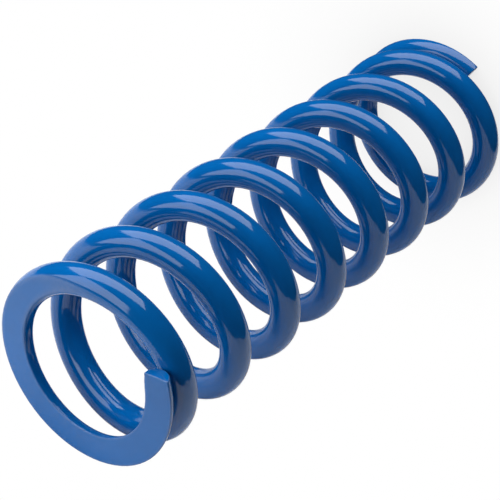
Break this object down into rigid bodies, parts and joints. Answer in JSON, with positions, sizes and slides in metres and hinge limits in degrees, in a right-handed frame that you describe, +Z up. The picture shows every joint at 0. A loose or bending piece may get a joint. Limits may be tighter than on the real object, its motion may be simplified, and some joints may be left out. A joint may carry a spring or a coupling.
{
  "type": "coil spring",
  "caption": "Right-hand cylindrical compression spring of round wire with closed, flat ground ends and an open bore, in a glossy blue powder coat.",
  "frame": {"origin": "centre of the lower ground end face, on the spring's axis", "axes": "+Z up the spring's axis from the lower end face to the upper one, +X through the lower wire tip"},
  "size_m": [0.0815, 0.081, 0.25],
  "materials": {
    "powder_coated_steel": "gloss"
  },
  "bodies": {
    "lower_end_coil": {"lower_end_coil": "powder_coated_steel"},
    "active_coil_1": {"active_coil_1": "powder_coated_steel"},
    "active_coil_2": {"active_coil_2": "powder_coated_steel"},
    "active_coil_3": {"active_coil_3": "powder_coated_steel"},
    "active_coil_4": {"active_coil_4": "powder_coated_steel"},
    "active_coil_5": {"active_coil_5": "powder_coated_steel"},
    "active_coil_6": {"active_coil_6": "powder_coated_steel"},
    "upper_end_coil": {"upper_end_coil": "powder_coated_steel"}
  },
  "joints": [
    {"name": "compression", "type": "slide", "parent": "lower_end_coil", "child": "upper_end_coil", "axis": [0, 0, 1], "range_m": [-0.12, 0], "stiffness_N_per_m": 88000},
    {"name": "active_coil_1_slide", "type": "slide", "parent": "lower_end_coil", "child": "active_coil_1", "axis": [0, 0, 1], "range_m": [-0.01, 0]},
    {"name": "active_coil_2_slide", "type": "slide", "parent": "lower_end_coil", "child": "active_coil_2", "axis": [0, 0, 1], "range_m": [-0.03, 0]},
    {"name": "active_coil_3_slide", "type": "slide", "parent": "lower_end_coil", "child": "active_coil_3", "axis": [0, 0, 1], "range_m": [-0.05, 0]},
    {"name": "active_coil_4_slide", "type": "slide", "parent": "lower_end_coil", "child": "active_coil_4", "axis": [0, 0, 1], "range_m": [-0.07, 0]},
    {"name": "active_coil_5_slide", "type": "slide", "parent": "lower_end_coil", "child": "active_coil_5", "axis": [0, 0, 1], "range_m": [-0.09, 0]},
    {"name": "active_coil_6_slide", "type": "slide", "parent": "lower_end_coil", "child": "active_coil_6", "axis": [0, 0, 1], "range_m": [-0.11, 0]}
  ],
  "couplings": [
    {"joint": "active_coil_1_slide", "follows": "compression", "ratio": 0.083333},
    {"joint": "active_coil_2_slide", "follows": "compression", "ratio": 0.25},
    {"joint": "active_coil_3_slide", "follows": "compression", "ratio": 0.41667},
    {"joint": "active_coil_4_slide", "follows": "compression", "ratio": 0.58333},
    {"joint": "active_coil_5_slide", "follows": "compression", "ratio": 0.75},
    {"joint": "active_coil_6_slide", "follows": "compression", "ratio": 0.91667}
  ]
}
